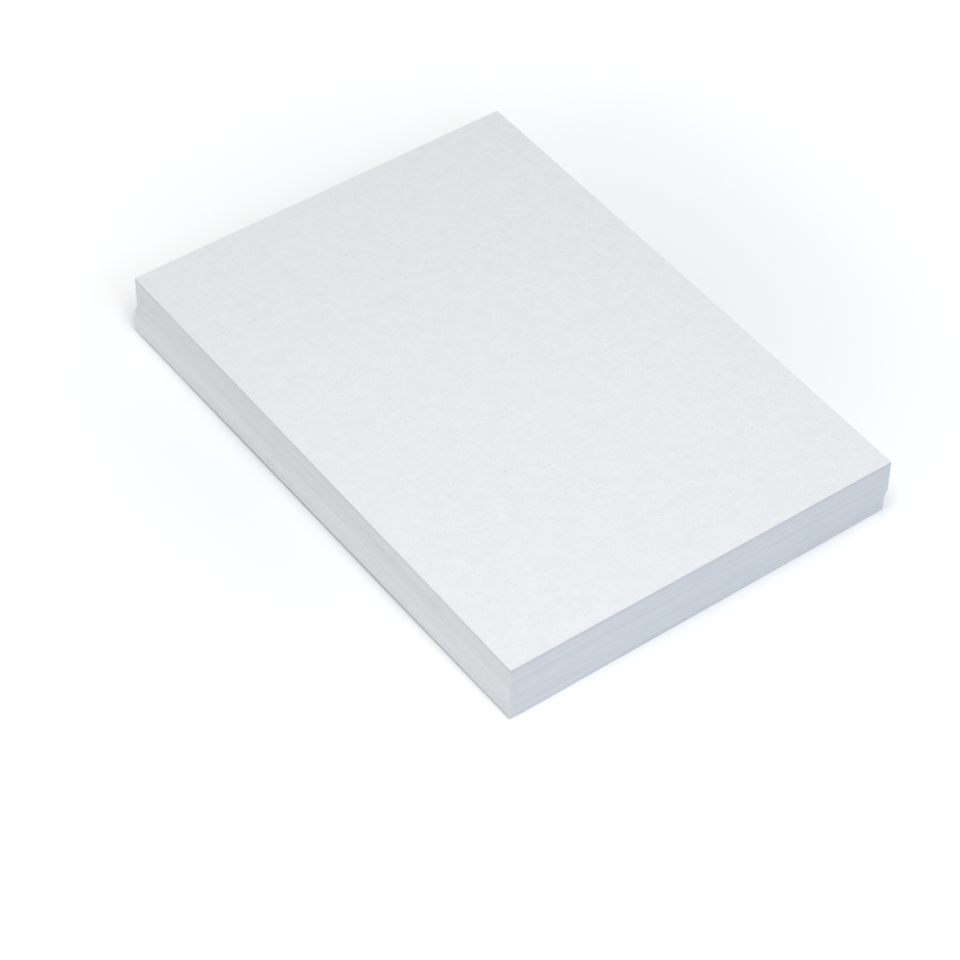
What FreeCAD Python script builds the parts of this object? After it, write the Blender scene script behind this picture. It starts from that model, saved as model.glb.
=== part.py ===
import FreeCAD, Part
import os
import random

# A pack of loose A4 paper: flat sheets lying one on another, with their edges
# jogged nearly square. X runs along the short edges, Y along the long edges and
# Z up through the pack. The origin is the middle of the pack's outline, on the
# surface that it stands on.
SIZES = [
    ("sheet_width", 210.0, "short edge of a sheet, mm"),
    ("sheet_length", 297.0, "long edge of a sheet, mm"),
    ("sheet_thickness", 0.128, "thickness of a sheet, mm"),
    ("sheet_count", 250, "sheets in the pack"),
    ("turn_angle", 0.45, "how far the lowest sheets have turned about the hinge corner, degrees"),
    ("turned_sheets", 56, "sheets at the bottom that have turned all the way"),
    ("turning_sheets", 66, "sheets above them over which the turn dies out"),
    ("lift_sheets", 17, "sheets in one handful, squared up together"),
    ("lift_play", 0.10, "how far a handful stands from square, mm"),
    ("sheet_play", 0.07, "how far a sheet stands from its handful, mm"),
    ("sheet_play_angle", 0.008, "how far a sheet is turned from its handful, degrees"),
]

# The lowest sheets have turned about one corner of the pack, the hinge corner,
# so their far corners stand out past the square sheets. The outline that is
# centred on the origin takes in both.
HINGE_X = "(Sizes.sheet_length * sin(Sizes.turn_angle) - Sizes.sheet_width) / 2"
HINGE_Y = "-(Sizes.sheet_length * cos(Sizes.turn_angle) + Sizes.sheet_width * sin(Sizes.turn_angle)) / 2"

# The seed of the play that each handful and each sheet has.
JOG_SEED = 5


def make_sizes(doc):
    """The driving dimensions, one row each: name, value, meaning."""
    sheet = doc.addObject("Spreadsheet::Sheet", "Sizes")
    for row, (name, value, meaning) in enumerate(SIZES, start=1):
        sheet.set(f"A{row}", name)
        sheet.set(f"B{row}", str(value))
        sheet.set(f"C{row}", meaning)
        sheet.setAlias(f"B{row}", name)
    doc.recompute()
    return sheet


def turned_share(number, sizes):
    """1 in the lowest sheets, easing to 0 where the pack is square again."""
    above = number - sizes.turned_sheets
    share = 1 - min(max(above / sizes.turning_sheets, 0), 1)
    return share * share * (3 - 2 * share)


def play(shares):
    """How far a sheet stands from square: its handful's share of the play, and its own."""
    lift_share, sheet_share = shares
    return f"Sizes.lift_play * {lift_share:.5f} + Sizes.sheet_play * {sheet_share:.5f}"


def add_sheet(doc, number, turned, across, along, twist):
    """One sheet, with its hinge corner over those of the sheets below.

    turned runs from 0 to 1. across and along are pairs of shares for play(),
    and twist is the sheet's share of the play in angle. Each share is from -1 to 1.
    """
    sheet = doc.addObject("Part::Box", f"sheet_{number + 1:03d}")
    sheet.setExpression("Length", "Sizes.sheet_width")
    sheet.setExpression("Width", "Sizes.sheet_length")
    sheet.setExpression("Height", "Sizes.sheet_thickness")
    sheet.setExpression("Placement.Base.x", f"{HINGE_X} + {play(across)}")
    sheet.setExpression("Placement.Base.y", f"{HINGE_Y} + {play(along)}")
    sheet.setExpression("Placement.Base.z", f"Sizes.sheet_thickness * {number}")
    angle = f"Sizes.turn_angle * {turned:.5f} + Sizes.sheet_play_angle * {twist:.5f}"
    sheet.setExpression("Placement.Rotation.Angle", angle)
    return sheet


def add_stack(doc, sizes):
    """Every sheet in its place, joined where it lies on the next: the sheets' ledges stay."""
    chance = random.Random(JOG_SEED)
    sheets = []
    for number in range(round(sizes.sheet_count)):
        if number % round(sizes.lift_sheets) == 0:
            lift_across = chance.uniform(-1, 1)
            lift_along = chance.uniform(-1, 1)
        across = (lift_across, chance.uniform(-1, 1))
        along = (lift_along, chance.uniform(-1, 1))
        twist = chance.uniform(-1, 1)
        sheets.append(add_sheet(doc, number, turned_share(number, sizes), across, along, twist))
    stack = doc.addObject("Part::MultiFuse", "sheet_stack")
    stack.Label = "sheet_stack"
    stack.Shapes = sheets
    return stack


def check(doc, parts):
    """Stops the build if anything in the document failed."""
    for item in doc.Objects:
        if "Invalid" in item.State or "Error" in item.State:
            raise RuntimeError(f"{item.Label} failed to build: {item.State}")
    for part in parts:
        if part.Shape.isNull() or not part.Shape.isValid():
            raise RuntimeError(f"{part.Label} has no valid shape")


def main():
    doc = FreeCAD.newDocument("ream_of_paper")
    sizes = make_sizes(doc)
    parts = [add_stack(doc, sizes)]
    doc.recompute()
    check(doc, parts)
    os.makedirs("parts", exist_ok=True)
    for part in parts:
        part.Shape.exportStep(f"parts/{part.Label}.step")
        box = part.Shape.BoundBox
        print(part.Label, len(part.Shape.Solids), "solid,", len(part.Shape.Faces), "faces")
        print("volume", round(part.Shape.Volume, 1), "mm3")
        print("x", round(box.XMin, 3), round(box.XMax, 3))
        print("y", round(box.YMin, 3), round(box.YMax, 3))
        print("z", round(box.ZMin, 3), round(box.ZMax, 3))


main()
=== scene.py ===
import math

import bpy
import numpy as np
from bpy.props import FloatProperty, FloatVectorProperty, IntProperty, PointerProperty
from bpy.types import Operator, Panel, PropertyGroup
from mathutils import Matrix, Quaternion, Vector


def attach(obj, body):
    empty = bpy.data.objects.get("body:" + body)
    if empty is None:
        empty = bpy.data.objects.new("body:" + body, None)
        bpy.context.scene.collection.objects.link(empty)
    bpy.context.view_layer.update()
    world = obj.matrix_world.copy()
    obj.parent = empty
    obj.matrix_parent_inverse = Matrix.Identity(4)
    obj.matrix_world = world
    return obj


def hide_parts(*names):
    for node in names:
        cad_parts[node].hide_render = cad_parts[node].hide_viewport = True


bl_info = {
    "name": "Ream of Paper",
    "version": (1, 0, 0),
    "blender": (4, 5, 0),
    "location": "3D View > Sidebar > Ream",
    "description": "Lays up a jogged pack of A4 paper sheet by sheet, and photographs it on a pale floor",
    "category": "Add Mesh",
}

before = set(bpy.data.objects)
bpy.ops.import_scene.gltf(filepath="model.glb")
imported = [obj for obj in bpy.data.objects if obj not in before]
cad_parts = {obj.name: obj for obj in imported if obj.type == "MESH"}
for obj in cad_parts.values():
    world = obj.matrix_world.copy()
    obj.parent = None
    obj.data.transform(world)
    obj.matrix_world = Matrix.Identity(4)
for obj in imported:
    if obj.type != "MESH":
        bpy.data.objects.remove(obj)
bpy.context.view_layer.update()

STACK_NODE = "sheet_stack"
BODY = "root"
MM = 0.001

FACE_MATERIAL = "paper_face"
EDGE_MATERIAL = "paper_edge"
FLOOR_MATERIAL = "floor_paint"
STACK_TREE = "lay_sheets"

# A face whose normal's Z is smaller than this belongs to a cut edge, and not to a sheet's face.
CUT_EDGE_NORMAL = 0.5

# The decimals of a metre to which heights are rounded, to tell one level from the next.
LEVEL_DECIMALS = 7


# The pack as it was built: where each sheet lies, read from the frame.

def sheet_levels(node):
    """The heights at which one sheet ends and the next begins."""
    heights = np.array([vertex.co.z for vertex in node.data.vertices])
    return np.unique(np.round(heights, LEVEL_DECIMALS))


def cut_edges(node):
    """The upright triangles of the node, as an array of triangle, corner, axis."""
    mesh = node.data
    points = np.array([vertex.co for vertex in mesh.vertices])
    upright = [face for face in mesh.polygons if abs(face.normal.z) < CUT_EDGE_NORMAL]
    return points[np.array([tuple(face.vertices) for face in upright])]


def sheet_corners(outline):
    """Corners of one sheet: near left, near right, far right, far left."""
    ways = ((-1, -1), (1, -1), (1, 1), (-1, 1))
    return [outline[np.argmax(outline @ np.array(way, float))] for way in ways]


def read_sheets(node):
    """Width, length and thickness of a sheet, and each sheet's middle and turn."""
    levels = sheet_levels(node)
    triangles = cut_edges(node)
    middles = triangles[:, :, 2].mean(axis=1)
    places, turns = [], []
    for low, high in zip(levels[:-1], levels[1:]):
        outline = triangles[(middles > low) & (middles < high)][:, :, :2].reshape(-1, 2)
        near_left, near_right, far_right, far_left = sheet_corners(outline)
        middle = (near_left + near_right + far_right + far_left) / 4
        short_edge = near_right - near_left
        places.append((middle[0], middle[1], (low + high) / 2))
        turns.append(math.atan2(short_edge[1], short_edge[0]))
    # All the sheets are the same size, so the last one's corners give it.
    width = float(np.linalg.norm(near_right - near_left))
    length = float(np.linalg.norm(far_left - near_left))
    thickness = float(levels[-1] - levels[0]) / len(places)
    return width, length, thickness, places, turns


WIDTH, LENGTH, THICKNESS, PLACES, TURNS = read_sheets(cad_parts[STACK_NODE])
HEIGHT = THICKNESS * len(PLACES)


class PackSizes(PropertyGroup):
    """How the sheets lie, beyond the place and turn that the frame gives each one."""

    air: FloatProperty(
        name="Air", description="Gap between one sheet and the next",
        default=0.004 * MM, unit="LENGTH", precision=6)
    evened_over: IntProperty(
        name="Evened Over", description="Sheets above and below over which a sheet's place is evened out",
        default=1, min=0)
    steps_across: IntProperty(
        name="Steps Across", description="Faces along a sheet's short edge", default=8, min=1)
    steps_along: IntProperty(
        name="Steps Along", description="Faces along a sheet's long edge", default=12, min=1)
    top_steps_across: IntProperty(
        name="Top Steps Across", description="Faces along the top sheet's short edge", default=56, min=1)
    top_steps_along: IntProperty(
        name="Top Steps Along", description="Faces along the top sheet's long edge", default=80, min=1)
    cut_wander: FloatProperty(
        name="Cut Wander", description="How far a sheet's edge strays from a straight cut",
        default=0.03 * MM, unit="LENGTH", precision=6)
    wander_length: FloatProperty(
        name="Wander Length", description="Distance over which an edge strays out and back",
        default=60 * MM, unit="LENGTH")
    loft: FloatProperty(
        name="Loft", description="How far the pack stands up at the middle of its far long edge",
        default=0.5 * MM, unit="LENGTH", precision=5)
    loft_place: FloatProperty(
        name="Loft Place", description="Where along the pack the loft is highest, from its middle",
        default=-8 * MM, unit="LENGTH")
    base_gap: FloatProperty(
        name="Base Gap", description="How far the lowest sheets' near long edge lifts off the surface",
        default=1.2 * MM, unit="LENGTH", precision=5)
    base_gap_reach: FloatProperty(
        name="Base Gap Reach", description="How far in from the edge the lowest sheets lift",
        default=30 * MM, unit="LENGTH")
    cockle: FloatProperty(
        name="Cockle", description="Height of the waves in the top sheet",
        default=0.15 * MM, unit="LENGTH", precision=5)
    cockle_length: FloatProperty(
        name="Cockle Length", description="Length of the waves in the top sheet",
        default=70 * MM, unit="LENGTH")


class PaperFinish(PropertyGroup):
    """Colour and texture of the paper's face and of its cut edges."""

    face_colour: FloatVectorProperty(
        name="Face", description="Colour of a sheet's face", subtype="COLOR",
        size=3, min=0, max=1, default=(0.829, 0.839, 0.848))
    face_shade: FloatProperty(
        name="Face Shade", description="How much darker the face is where the fibres lie thin",
        default=0.078, min=0, max=1, subtype="FACTOR")
    face_roughness: FloatProperty(
        name="Face Roughness", description="Roughness of a sheet's face",
        default=0.86, min=0, max=1, subtype="FACTOR")
    formation: FloatProperty(
        name="Formation", description="Size of the clouds in the sheet",
        default=5 * MM, unit="LENGTH", precision=5)
    fibre: FloatProperty(
        name="Fibre", description="Size of the grain that the fibres give the face",
        default=1 * MM, unit="LENGTH", precision=5)
    speck_spacing: FloatProperty(
        name="Speck Spacing", description="Distance from one speck in the paper to the next",
        default=4.6 * MM, unit="LENGTH", precision=5)
    speck_size: FloatProperty(
        name="Speck Size", description="Radius of the largest specks",
        default=0.5 * MM, unit="LENGTH", precision=5)
    speck_shade: FloatProperty(
        name="Speck Shade", description="How much darker the darkest specks are",
        default=0.18, min=0, max=1, subtype="FACTOR")
    fibre_depth: FloatProperty(
        name="Fibre Depth", description="Depth of the grain in the face",
        default=0.012 * MM, unit="LENGTH", precision=6)
    edge_colour: FloatVectorProperty(
        name="Edge", description="Colour of the cut edges", subtype="COLOR",
        size=3, min=0, max=1, default=(0.775, 0.823, 0.875))
    edge_shade: FloatProperty(
        name="Edge Shade", description="How much darker the darkest sheets' edges are",
        default=0.075, min=0, max=1, subtype="FACTOR")
    # Painted shadow: the edges beside the widest gaps between sheets are darkened in colour, in place of
    # the shade inside the gaps.
    gap_painted_shade: FloatProperty(
        name="Line Shade", description="How much darker a sheet's edge is beside the widest gaps",
        default=0.24, min=0, max=1, subtype="FACTOR")
    line_length: FloatProperty(
        name="Line Length", description="Distance over which such a gap opens and closes",
        default=45 * MM, unit="LENGTH")
    streak_depth: FloatProperty(
        name="Streak Depth", description="Height of a band of sheets whose edges are alike",
        default=1.8 * MM, unit="LENGTH", precision=5)
    streak_length: FloatProperty(
        name="Streak Length", description="Distance over which such a band fades into the next",
        default=110 * MM, unit="LENGTH")
    # Painted shade: the cut edges darken towards the top, in place of the bounce light from the floor that
    # lights their lower part more.
    height_painted_shade: FloatProperty(
        name="Press Shade",
        description="How much darker the edges are at the top, where less weight closes the sheets",
        default=0.085, min=0, max=1, subtype="FACTOR")
    # Painted shadow: a band just under the top of the cut edges is darkened, in place of the shade beneath
    # the uppermost sheets.
    rim_painted_shade: FloatProperty(
        name="Rim Shade", description="How much darker the edges of the uppermost, loosest sheets are",
        default=0.09, min=0, max=1, subtype="FACTOR")
    rim_depth: FloatProperty(
        name="Rim Depth", description="How far down from the top the edges are darker",
        default=3 * MM, unit="LENGTH", precision=5)
    edge_roughness: FloatProperty(
        name="Edge Roughness", description="Roughness of the cut edges",
        default=0.92, min=0, max=1, subtype="FACTOR")


class StudioSizes(PropertyGroup):
    """The floor, and where the camera stands."""

    floor_size: FloatProperty(
        name="Floor Size", description="Side of the square floor", default=14.0, unit="LENGTH")
    floor_colour: FloatVectorProperty(
        name="Floor", description="Colour of the floor", subtype="COLOR",
        size=3, min=0, max=1, default=(0.90, 0.90, 0.90))
    floor_roughness: FloatProperty(
        name="Floor Roughness", description="Roughness of the floor",
        default=0.9, min=0, max=1, subtype="FACTOR")
    far_glow: FloatProperty(
        name="Far Glow",
        description="Light that the floor gives off far from the pack, beyond the lamps' reach",
        default=0.70, min=0, max=2)
    glow_start: FloatProperty(
        name="Glow Start", description="Distance from the pack's middle at which the glow begins to grow",
        default=0.12, unit="LENGTH")
    glow_end: FloatProperty(
        name="Glow End", description="Distance from the pack's middle at which the glow is full",
        default=0.6, unit="LENGTH")
    camera_azimuth: FloatProperty(
        name="Azimuth", description="Bearing of the view, from the pack's long axis",
        default=math.radians(36.489), subtype="ANGLE")
    camera_elevation: FloatProperty(
        name="Elevation", description="How far the camera looks down",
        default=math.radians(46.136), subtype="ANGLE")
    camera_roll: FloatProperty(
        name="Roll", description="How far the camera leans to its left",
        default=math.radians(0.715), subtype="ANGLE")
    camera_distance: FloatProperty(
        name="Distance", description="From the camera to the point that it looks at",
        default=1.4944, unit="LENGTH")
    camera_aim: FloatVectorProperty(
        name="Aim", description="Point on the top sheet at the middle of the picture",
        size=3, subtype="XYZ", unit="LENGTH", default=(-0.0492, -0.0520, HEIGHT))
    lens: FloatProperty(
        name="Lens", description="Focal length on a 36 mm sensor", default=126.9, unit="CAMERA")


def add_node(tree, kind, inputs=None, **settings):
    """A node with its settings, and its inputs given as values or as sockets to link."""
    node = tree.nodes.new(kind)
    for name, value in settings.items():
        setattr(node, name, value)
    for name, value in (inputs or {}).items():
        if isinstance(value, bpy.types.NodeSocket):
            tree.links.new(value, node.inputs[name])
        else:
            node.inputs[name].default_value = value
    return node


def calculate(tree, operation, *values):
    """The result of one Math node."""
    node = add_node(tree, "ShaderNodeMath", dict(enumerate(values)), operation=operation)
    return node.outputs[0]


def split(tree, vector):
    """The X, Y and Z of a vector socket."""
    return add_node(tree, "ShaderNodeSeparateXYZ", {0: vector}).outputs


# Materials

# Noise seldom leaves the middle of its range from 0 to 1, so its full swing is taken from there.
CLOUD_SWING = (0.3, 0.7)
GRAIN_SWING = (0.25, 0.75)
GAP_SWING = (0.35, 0.65)

# The shade of the clouds in a sheet, as a share of the grain's.
CLOUD_SHARE = 0.75

# Powers of a chance from 0 to 1: the higher they are, the fewer specks and gaps are dark.
SPECK_RARITY = 4.0
GAP_RARITY = 6.0

# The share of a speck's radius within which it is evenly dark.
SPECK_CORE = 0.3

# The sheen of each surface, where 0.5 is that of most plain materials.
FACE_SHEEN = 0.3
EDGE_SHEEN = 0.25
FLOOR_SHEEN = 0.0


def plain_material(name):
    """The tree and the shader node of a new material that is still plain."""
    material = bpy.data.materials.new(name)
    material.use_nodes = True
    return material.node_tree, material.node_tree.nodes["Principled BSDF"]


def cloud(tree, place, size, detail=3.0, roughness=0.5):
    """Noise with lumps about as large as size."""
    inputs = {"Vector": place, "Scale": 1 / size, "Detail": detail, "Roughness": roughness}
    return add_node(tree, "ShaderNodeTexNoise", inputs).outputs["Fac"]


def spread(tree, value, low, high, to_low, to_high):
    """value, from the range low to high, taken to the range to_low to to_high."""
    inputs = {0: value, 1: low, 2: high, 3: to_low, 4: to_high}
    return add_node(tree, "ShaderNodeMapRange", inputs).outputs[0]


def shaded(tree, colour, brightness):
    """colour, made darker or lighter by a brightness socket around 1."""
    scale = add_node(tree, "ShaderNodeVectorMath", {0: colour, 3: brightness}, operation="SCALE")
    return scale.outputs[0]


def specks(tree, place, finish, dimensions):
    """1, or less on the small specks of fibre and dust that lie in the paper."""
    inputs = {"Vector": place, "Scale": 1 / finish.speck_spacing}
    cells = add_node(tree, "ShaderNodeTexVoronoi", inputs, voronoi_dimensions=dimensions)
    chance = add_node(tree, "ShaderNodeSeparateColor", {0: cells.outputs["Color"]}).outputs[0]
    rare = calculate(tree, "POWER", chance, SPECK_RARITY)
    radius = finish.speck_size / finish.speck_spacing
    inside = spread(tree, cells.outputs["Distance"], radius * SPECK_CORE, radius, 1.0, 0.0)
    depth = calculate(tree, "MULTIPLY", calculate(tree, "MULTIPLY", inside, rare), finish.speck_shade)
    return calculate(tree, "SUBTRACT", 1.0, depth)


def make_face_material(finish):
    """Uncoated paper seen flat: faint clouds, fibre grain and a few small specks."""
    tree, shader = plain_material(FACE_MATERIAL)
    place = add_node(tree, "ShaderNodeTexCoord").outputs["Object"]
    clouds = cloud(tree, place, finish.formation, detail=5.0, roughness=0.75)
    grain = cloud(tree, place, finish.fibre, detail=2.0, roughness=0.7)
    clouds_share = spread(tree, clouds, *CLOUD_SWING, 1 - finish.face_shade * CLOUD_SHARE, 1.0)
    grain_share = spread(tree, grain, *GRAIN_SWING, 1 - finish.face_shade, 1.0)
    brightness = calculate(tree, "MULTIPLY", clouds_share, grain_share)
    brightness = calculate(tree, "MULTIPLY", brightness, specks(tree, place, finish, "2D"))
    colour = shaded(tree, finish.face_colour, brightness)
    tree.links.new(colour, shader.inputs["Base Color"])
    bump = add_node(tree, "ShaderNodeBump", {"Height": grain, "Distance": finish.fibre_depth})
    tree.links.new(bump.outputs[0], shader.inputs["Normal"])
    shader.inputs["Roughness"].default_value = finish.face_roughness
    shader.inputs["Specular IOR Level"].default_value = FACE_SHEEN


def painted_gap_shadow(tree, place, tone, finish):
    """1, or less on the few sheets that stand beside a gap, where the gap is open: painted shadow of the
    gap in the edges' colour.
    """
    beside = calculate(tree, "POWER", tone, GAP_RARITY)
    apart = add_node(tree, "ShaderNodeCombineXYZ", {2: tone}).outputs[0]
    inputs = {0: place, 1: (1.0, 1.0, 0.0)}
    along = add_node(tree, "ShaderNodeVectorMath", inputs, operation="MULTIPLY").outputs[0]
    where = add_node(tree, "ShaderNodeVectorMath", {0: along, 1: apart}, operation="ADD").outputs[0]
    openness = cloud(tree, where, finish.line_length, detail=1.0)
    open_share = spread(tree, openness, *GAP_SWING, 0.0, 1.0)
    depth = calculate(tree, "MULTIPLY", beside, open_share)
    depth = calculate(tree, "MULTIPLY", depth, finish.gap_painted_shade)
    return calculate(tree, "SUBTRACT", 1.0, depth)


def make_edge_material(finish):
    """Cut edges: each sheet a little lighter or darker than the next, in soft bands, with painted shade in
    the gaps, towards the top and under the top rim.
    """
    tree, shader = plain_material(EDGE_MATERIAL)
    place = add_node(tree, "ShaderNodeTexCoord").outputs["Object"]
    tone = add_node(tree, "ShaderNodeAttribute", attribute_name="tone").outputs["Fac"]
    squash = (1.0, 1.0, finish.streak_length / finish.streak_depth)
    flat = add_node(tree, "ShaderNodeVectorMath", {0: place, 1: squash}, operation="MULTIPLY")
    streaks = cloud(tree, flat.outputs[0], finish.streak_length, detail=3.0, roughness=0.6)
    tone_share = spread(tree, tone, 0.0, 1.0, 1 - finish.edge_shade, 1.0)
    streak_share = spread(tree, streaks, *CLOUD_SWING, 1 - finish.edge_shade, 1.0)
    brightness = calculate(tree, "MULTIPLY", tone_share, streak_share)
    brightness = calculate(tree, "MULTIPLY", brightness, painted_gap_shadow(tree, place, tone, finish))
    height = split(tree, place)[2]
    # Painted shade, darker towards the top of the cut edges, in place of the bounce light that lights them
    # more below.
    height_shade_share = spread(tree, height, 0.0, HEIGHT, 1.0, 1 - finish.height_painted_shade)
    brightness = calculate(tree, "MULTIPLY", brightness, height_shade_share)
    # Painted shadow under the uppermost sheets, darkest at the top of the cut edges.
    rim_shadow_share = spread(tree, height, HEIGHT - finish.rim_depth, HEIGHT, 1.0, 1 - finish.rim_painted_shade)
    brightness = calculate(tree, "MULTIPLY", brightness, rim_shadow_share)
    brightness = calculate(tree, "MULTIPLY", brightness, specks(tree, place, finish, "3D"))
    colour = shaded(tree, finish.edge_colour, brightness)
    tree.links.new(colour, shader.inputs["Base Color"])
    shader.inputs["Roughness"].default_value = finish.edge_roughness
    shader.inputs["Specular IOR Level"].default_value = EDGE_SHEEN


# The sheets

# Where two faces of a sheet meet at more than this angle, the edge between them is crisp.
CRISP_ANGLE = math.radians(30)

# The seed of the tone that each sheet's edges have.
TONE_SEED = 7

STACK_INPUTS = (
    ("Width", "NodeSocketFloat"),
    ("Length", "NodeSocketFloat"),
    ("Thickness", "NodeSocketFloat"),
    ("Height", "NodeSocketFloat"),
    ("Air", "NodeSocketFloat"),
    ("Steps Across", "NodeSocketInt"),
    ("Steps Along", "NodeSocketInt"),
    ("Cut Wander", "NodeSocketFloat"),
    ("Wander Length", "NodeSocketFloat"),
    ("Loft", "NodeSocketFloat"),
    ("Loft Place", "NodeSocketFloat"),
    ("Base Gap", "NodeSocketFloat"),
    ("Base Gap Reach", "NodeSocketFloat"),
    ("Cockle", "NodeSocketFloat"),
    ("Cockle Length", "NodeSocketFloat"),
    ("Seed", "NodeSocketInt"),
    ("Face", "NodeSocketMaterial"),
    ("Edge", "NodeSocketMaterial"),
)


def one_sheet(tree, given):
    """A flat sheet, cut into steps each way so that it can bend."""
    thick = calculate(tree, "SUBTRACT", given["Thickness"], given["Air"])
    size = add_node(tree, "ShaderNodeCombineXYZ", {0: given["Width"], 1: given["Length"], 2: thick})
    across = calculate(tree, "ADD", given["Steps Across"], 1.0)
    along = calculate(tree, "ADD", given["Steps Along"], 1.0)
    inputs = {"Size": size.outputs[0], "Vertices X": across, "Vertices Y": along, "Vertices Z": 2}
    return add_node(tree, "GeometryNodeMeshCube", inputs).outputs["Mesh"]


def lay_sheets(tree, given):
    """One sheet on each point, turned as the point says, with a number and a tone of its own."""
    turn = add_node(tree, "GeometryNodeInputNamedAttribute", {"Name": "turn"}, data_type="FLOAT")
    turn_vector = add_node(tree, "ShaderNodeCombineXYZ", {2: turn.outputs[0]}).outputs[0]
    rotation = add_node(tree, "FunctionNodeEulerToRotation", {0: turn_vector}).outputs[0]
    inputs = {"Points": given["Geometry"], "Instance": one_sheet(tree, given), "Rotation": rotation}
    sheets = add_node(tree, "GeometryNodeInstanceOnPoints", inputs).outputs[0]
    chance = add_node(tree, "FunctionNodeRandomValue", {"Seed": given["Seed"]}, data_type="FLOAT")
    inputs = {"Geometry": sheets, "Name": "tone", "Value": chance.outputs[1]}
    toned = add_node(
        tree, "GeometryNodeStoreNamedAttribute", inputs, data_type="FLOAT", domain="INSTANCE")
    number = add_node(tree, "GeometryNodeInputIndex").outputs[0]
    inputs = {"Geometry": toned.outputs[0], "Name": "number", "Value": number}
    numbered = add_node(
        tree, "GeometryNodeStoreNamedAttribute", inputs, data_type="FLOAT", domain="INSTANCE")
    return add_node(tree, "GeometryNodeRealizeInstances", {"Geometry": numbered.outputs[0]}).outputs[0]


def stray_cut(tree, given, sheets):
    """Moves each edge a few hundredths of a millimetre in or out along its length."""
    place = add_node(tree, "GeometryNodeInputPosition").outputs[0]
    number = add_node(tree, "GeometryNodeInputNamedAttribute", {"Name": "number"}, data_type="FLOAT")
    apart = add_node(tree, "ShaderNodeCombineXYZ", {2: number.outputs[0]}).outputs[0]
    fineness = calculate(tree, "DIVIDE", 1.0, given["Wander Length"])
    near = add_node(tree, "ShaderNodeVectorMath", {0: place, 3: fineness}, operation="SCALE").outputs[0]
    where = add_node(tree, "ShaderNodeVectorMath", {0: near, 1: apart}, operation="ADD").outputs[0]
    noise = add_node(tree, "ShaderNodeTexNoise", {"Vector": where, "Scale": 1.0, "Detail": 1.0})
    centred = add_node(
        tree, "ShaderNodeVectorMath", {0: noise.outputs["Color"], 1: (0.5, 0.5, 0.5)}, operation="SUBTRACT")
    flat = add_node(
        tree, "ShaderNodeVectorMath", {0: centred.outputs[0], 1: (1.0, 1.0, 0.0)}, operation="MULTIPLY")
    # The centred noise reaches 0.5 either way, so it takes twice the wander.
    twice = calculate(tree, "MULTIPLY", given["Cut Wander"], 2.0)
    offset = add_node(tree, "ShaderNodeVectorMath", {0: flat.outputs[0], 3: twice}, operation="SCALE")
    return add_node(tree, "GeometryNodeSetPosition", {"Geometry": sheets, "Offset": offset.outputs[0]})


def share_of(tree, value, low, high):
    """0 at low and 1 at high, eased at both ends."""
    inputs = {0: value, 1: low, 2: high, 3: 0.0, 4: 1.0}
    node = add_node(tree, "ShaderNodeMapRange", inputs, interpolation_type="SMOOTHSTEP")
    return node.outputs[0]


def loft(tree, given, x, y, height_share):
    """The rise of the far long edge, highest at its middle and at the top of the pack."""
    half_width = calculate(tree, "MULTIPLY", given["Width"], 0.5)
    half_length = calculate(tree, "MULTIPLY", given["Length"], 0.5)
    from_place = calculate(tree, "SUBTRACT", y, given["Loft Place"])
    along = calculate(tree, "DIVIDE", from_place, half_length)
    along = calculate(tree, "SUBTRACT", 1.0, calculate(tree, "MULTIPLY", along, along))
    along = calculate(tree, "MAXIMUM", along, 0.0)
    across = share_of(tree, x, 0.0, half_width)
    rise = calculate(tree, "MULTIPLY", calculate(tree, "MULTIPLY", along, across), given["Loft"])
    return calculate(tree, "MULTIPLY", rise, height_share)


def base_lift(tree, given, x, height_share):
    """The rise of the near long edge off the surface, which dies out toward the top."""
    near_edge = calculate(tree, "MULTIPLY", given["Width"], -0.5)
    inner = calculate(tree, "ADD", near_edge, given["Base Gap Reach"])
    rise = calculate(tree, "SUBTRACT", 1.0, share_of(tree, x, near_edge, inner))
    rise = calculate(tree, "MULTIPLY", rise, given["Base Gap"])
    return calculate(tree, "MULTIPLY", rise, calculate(tree, "SUBTRACT", 1.0, height_share))


def cockle(tree, given):
    """The rise of the waves in a sheet that nothing presses."""
    fineness = calculate(tree, "DIVIDE", 1.0, given["Cockle Length"])
    waves = add_node(tree, "ShaderNodeTexNoise", {"Scale": fineness, "Detail": 1.0})
    return calculate(tree, "MULTIPLY", waves.outputs["Fac"], given["Cockle"])


def bend(tree, given, sheets):
    """Raises the sheets where the pack doesn't lie flat."""
    x, y, z = split(tree, add_node(tree, "GeometryNodeInputPosition").outputs[0])
    height_share = calculate(tree, "DIVIDE", z, given["Height"])
    lofted = loft(tree, given, x, y, height_share)
    lifted = base_lift(tree, given, x, height_share)
    rise = calculate(tree, "ADD", calculate(tree, "ADD", lofted, lifted), cockle(tree, given))
    offset = add_node(tree, "ShaderNodeCombineXYZ", {2: rise}).outputs[0]
    return add_node(tree, "GeometryNodeSetPosition", {"Geometry": sheets, "Offset": offset})


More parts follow.
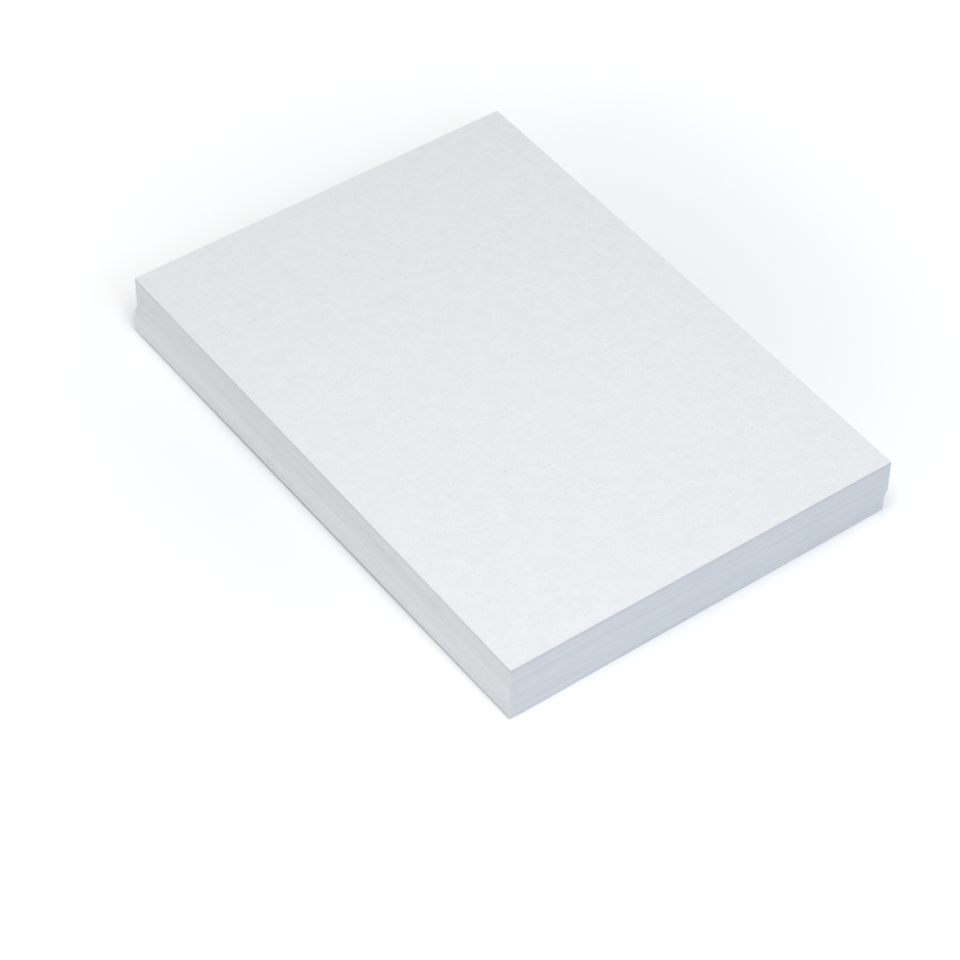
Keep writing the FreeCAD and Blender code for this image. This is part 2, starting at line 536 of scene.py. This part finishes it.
def finish_sheets(tree, given, sheets):
    """Smooth faces with crisp cut edges, the face material, and the edge material round the sides."""
    smooth = add_node(tree, "GeometryNodeSetShadeSmooth", {"Geometry": sheets}, domain="FACE")
    angle = add_node(tree, "GeometryNodeInputMeshEdgeAngle").outputs["Unsigned Angle"]
    soft = add_node(tree, "FunctionNodeCompare", {0: angle, 1: CRISP_ANGLE}, operation="LESS_THAN")
    inputs = {"Geometry": smooth.outputs[0], "Shade Smooth": soft.outputs[0]}
    crisp = add_node(tree, "GeometryNodeSetShadeSmooth", inputs, domain="EDGE")
    faced = add_node(
        tree, "GeometryNodeSetMaterial", {"Geometry": crisp.outputs[0], "Material": given["Face"]})
    normal = split(tree, add_node(tree, "GeometryNodeInputNormal").outputs[0])
    upward = calculate(tree, "ABSOLUTE", normal[2])
    side = add_node(tree, "FunctionNodeCompare", {0: upward, 1: CUT_EDGE_NORMAL}, operation="LESS_THAN")
    inputs = {"Geometry": faced.outputs[0], "Selection": side.outputs[0], "Material": given["Edge"]}
    return add_node(tree, "GeometryNodeSetMaterial", inputs).outputs[0]


def make_stack_tree():
    """Sheets laid on points, their cuts strayed, and the pack bent as it lies."""
    tree = bpy.data.node_groups.new(STACK_TREE, "GeometryNodeTree")
    tree.interface.new_socket("Geometry", in_out="INPUT", socket_type="NodeSocketGeometry")
    for name, kind in STACK_INPUTS:
        tree.interface.new_socket(name, in_out="INPUT", socket_type=kind)
    tree.interface.new_socket("Geometry", in_out="OUTPUT", socket_type="NodeSocketGeometry")
    given = {socket.name: socket for socket in tree.nodes.new("NodeGroupInput").outputs}
    sheets = lay_sheets(tree, given)
    strayed = stray_cut(tree, given, sheets)
    bent = bend(tree, given, strayed.outputs[0])
    finished = finish_sheets(tree, given, bent.outputs[0])
    result = tree.nodes.new("NodeGroupOutput")
    tree.links.new(finished, result.inputs[0])
    return tree


def evened(values, reach):
    """Each sheet's value, averaged with those of its neighbours up to reach above and below."""
    last = len(values) - 1
    rows = []
    for number in range(len(values)):
        near = min(reach, number, last - number)
        rows.append(np.mean(values[number - near:number + near + 1], axis=0))
    return rows


def make_points(name, places, turns):
    """A mesh with one loose point for each sheet's middle, and its turn as an attribute."""
    mesh = bpy.data.meshes.new(name)
    mesh.from_pydata(places, [], [])
    mesh.attributes.new("turn", "FLOAT", "POINT").data.foreach_set("value", turns)
    points = bpy.data.objects.new(name, mesh)
    bpy.context.scene.collection.objects.link(points)
    return points


def lay_up(name, places, turns, values):
    """Makes one plain mesh piece of the sheets at these places, by the stack tree."""
    points = make_points(name + "_points", places, turns)
    modifier = points.modifiers.new(STACK_TREE, "NODES")
    modifier.node_group = bpy.data.node_groups.get(STACK_TREE) or make_stack_tree()
    for item in modifier.node_group.interface.items_tree:
        if item.in_out == "INPUT" and item.name in values:
            modifier[item.identifier] = values[item.name]
    evaluated = points.evaluated_get(bpy.context.evaluated_depsgraph_get())
    mesh = bpy.data.meshes.new_from_object(evaluated)
    mesh.name = name
    piece = bpy.data.objects.new(name, mesh)
    bpy.context.scene.collection.objects.link(piece)
    points.modifiers.remove(modifier)
    bpy.data.objects.remove(points)
    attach(piece, BODY)
    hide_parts(STACK_NODE)


def stack_values(sizes):
    """The inputs of the stack tree that every sheet shares."""
    return {
        "Width": WIDTH,
        "Length": LENGTH,
        "Thickness": THICKNESS,
        "Height": HEIGHT,
        "Air": sizes.air,
        "Steps Across": sizes.steps_across,
        "Steps Along": sizes.steps_along,
        "Cut Wander": sizes.cut_wander,
        "Wander Length": sizes.wander_length,
        "Loft": sizes.loft,
        "Loft Place": sizes.loft_place,
        "Base Gap": sizes.base_gap,
        "Base Gap Reach": sizes.base_gap_reach,
        "Cockle": 0.0,
        "Cockle Length": sizes.cockle_length,
        "Seed": TONE_SEED,
        "Face": bpy.data.materials[FACE_MATERIAL],
        "Edge": bpy.data.materials[EDGE_MATERIAL],
    }


class REAM_OT_paper(Operator):
    """Mixes the two finishes of the paper: its face and its cut edges"""

    bl_idname = "ream.paper"
    bl_label = "Mix the Paper"

    def execute(self, context):
        finish = context.scene.ream_finish
        make_face_material(finish)
        make_edge_material(finish)
        return {"FINISHED"}


class REAM_OT_lower_sheets(Operator):
    """Lays up every sheet but the top one, each where the frame has it"""

    bl_idname = "ream.lower_sheets"
    bl_label = "Lay the Lower Sheets"

    def execute(self, context):
        sizes = context.scene.ream_pack
        places = evened(PLACES, sizes.evened_over)[:-1]
        turns = evened(TURNS, sizes.evened_over)[:-1]
        lay_up("lower_sheets", places, turns, stack_values(sizes))
        return {"FINISHED"}


class REAM_OT_top_sheet(Operator):
    """Lays the top sheet, with the faint waves of a sheet that nothing presses"""

    bl_idname = "ream.top_sheet"
    bl_label = "Lay the Top Sheet"

    def execute(self, context):
        sizes = context.scene.ream_pack
        values = stack_values(sizes)
        values["Steps Across"] = sizes.top_steps_across
        values["Steps Along"] = sizes.top_steps_along
        values["Cockle"] = sizes.cockle
        lay_up("top_sheet", PLACES[-1:], TURNS[-1:], values)
        return {"FINISHED"}


# The studio

# The width of the camera's sensor in mm, on which its focal length is based.
SENSOR_WIDTH = 36

# Name, place, size, power in watts and colour of each lamp. All aim at the pack.
LAMPS = (
    ("overhead", (0.0, 0.0, 2.4), 1.2, 9.7, (1.0, 1.0, 1.0)),
    ("near_corner", (-0.15, -0.25, 0.9), 0.4, 3.0, (1.0, 1.0, 1.0)),
    ("left", (-1.6, 0.0, 0.35), 0.6, 5.9, (1.0, 0.868, 0.729)),
    ("near", (-0.15, -0.8, 0.9), 0.5, 3.0, (0.742, 0.843, 1.0)),
    ("back", (0.7, 2.2, 1.2), 1.5, 3.1, (1.0, 1.0, 1.0)),
    ("far_side", (2.2, 0.3, 1.2), 1.5, 2.8, (1.0, 1.0, 1.0)),
)
WORLD_COLOUR = (1.0, 1.0, 1.0)
WORLD_STRENGTH = 0.36


def make_floor(studio):
    """A plain pale floor, with a glow far from the pack, where the lamps hardly reach."""
    half = studio.floor_size / 2
    corners = [(-half, -half, 0), (half, -half, 0), (half, half, 0), (-half, half, 0)]
    mesh = bpy.data.meshes.new("floor")
    mesh.from_pydata(corners, [], [(0, 1, 2, 3)])
    floor = bpy.data.objects.new("floor", mesh)
    bpy.context.scene.collection.objects.link(floor)
    tree, shader = plain_material(FLOOR_MATERIAL)
    shader.inputs["Base Color"].default_value = (*studio.floor_colour, 1)
    shader.inputs["Roughness"].default_value = studio.floor_roughness
    shader.inputs["Specular IOR Level"].default_value = FLOOR_SHEEN
    shader.inputs["Emission Color"].default_value = (1, 1, 1, 1)
    place = add_node(tree, "ShaderNodeTexCoord").outputs["Object"]
    away = add_node(tree, "ShaderNodeVectorMath", {0: place}, operation="LENGTH").outputs["Value"]
    glow = spread(tree, away, studio.glow_start, studio.glow_end, 0.0, studio.far_glow)
    tree.links.new(glow, shader.inputs["Emission Strength"])
    mesh.materials.append(bpy.data.materials[FLOOR_MATERIAL])


def make_lamp(name, place, size, power, colour):
    """A square soft light that looks at the pack."""
    light = bpy.data.lights.new(name, "AREA")
    light.shape = "SQUARE"
    light.size = size
    light.energy = power
    light.color = colour
    lamp = bpy.data.objects.new(name, light)
    lamp.location = place
    lamp.rotation_mode = "QUATERNION"
    lamp.rotation_quaternion = (-Vector(place)).to_track_quat("-Z", "Y")
    bpy.context.scene.collection.objects.link(lamp)


def make_camera(studio):
    """The camera, at the bearing, height and lean of the photograph."""
    azimuth, elevation = studio.camera_azimuth, studio.camera_elevation
    back = Vector((
        -math.sin(azimuth) * math.cos(elevation),
        -math.cos(azimuth) * math.cos(elevation),
        math.sin(elevation),
    ))
    data = bpy.data.cameras.new("camera")
    data.lens = studio.lens
    data.sensor_width = SENSOR_WIDTH
    camera = bpy.data.objects.new("camera", data)
    camera.location = Vector(studio.camera_aim) + back * studio.camera_distance
    camera.rotation_mode = "QUATERNION"
    level = (-back).to_track_quat("-Z", "Y")
    camera.rotation_quaternion = level @ Quaternion((0, 0, 1), studio.camera_roll)
    bpy.context.scene.collection.objects.link(camera)
    bpy.context.scene.camera = camera


def make_world():
    """Plain white surroundings."""
    world = bpy.data.worlds.new("surroundings")
    world.use_nodes = True
    background = world.node_tree.nodes["Background"]
    background.inputs["Color"].default_value = (*WORLD_COLOUR, 1)
    background.inputs["Strength"].default_value = WORLD_STRENGTH
    bpy.context.scene.world = world


class REAM_OT_stage(Operator):
    """Sets the floor, the lamps, the surroundings and the camera"""

    bl_idname = "ream.stage"
    bl_label = "Set the Stage"

    def execute(self, context):
        studio = context.scene.ream_studio
        make_floor(studio)
        for lamp in LAMPS:
            make_lamp(*lamp)
        make_world()
        make_camera(studio)
        context.scene.view_settings.view_transform = "Standard"
        return {"FINISHED"}


class REAM_PT_panel(Panel):
    """The steps that make the pack, in order, with their sizes and colours"""

    bl_idname = "REAM_PT_panel"
    bl_label = "Ream of Paper"
    bl_space_type = "VIEW_3D"
    bl_region_type = "UI"
    bl_category = "Ream"

    def draw(self, context):
        scene = context.scene
        for operators, settings in (
            (("ream.paper",), scene.ream_finish),
            (("ream.lower_sheets", "ream.top_sheet"), scene.ream_pack),
            (("ream.stage",), scene.ream_studio),
        ):
            box = self.layout.box()
            for operator in operators:
                box.operator(operator)
            for name in settings.__annotations__:
                box.prop(settings, name)


CLASSES = (
    PackSizes,
    PaperFinish,
    StudioSizes,
    REAM_OT_paper,
    REAM_OT_lower_sheets,
    REAM_OT_top_sheet,
    REAM_OT_stage,
    REAM_PT_panel,
)


def register():
    for cls in CLASSES:
        bpy.utils.register_class(cls)
    bpy.types.Scene.ream_pack = PointerProperty(type=PackSizes)
    bpy.types.Scene.ream_finish = PointerProperty(type=PaperFinish)
    bpy.types.Scene.ream_studio = PointerProperty(type=StudioSizes)


def unregister():
    del bpy.types.Scene.ream_studio
    del bpy.types.Scene.ream_finish
    del bpy.types.Scene.ream_pack
    for cls in reversed(CLASSES):
        bpy.utils.unregister_class(cls)


def main():
    register()
    bpy.ops.ream.paper()
    bpy.ops.ream.lower_sheets()
    bpy.ops.ream.top_sheet()
    bpy.ops.ream.stage()


if __name__ == "__main__":
    main()
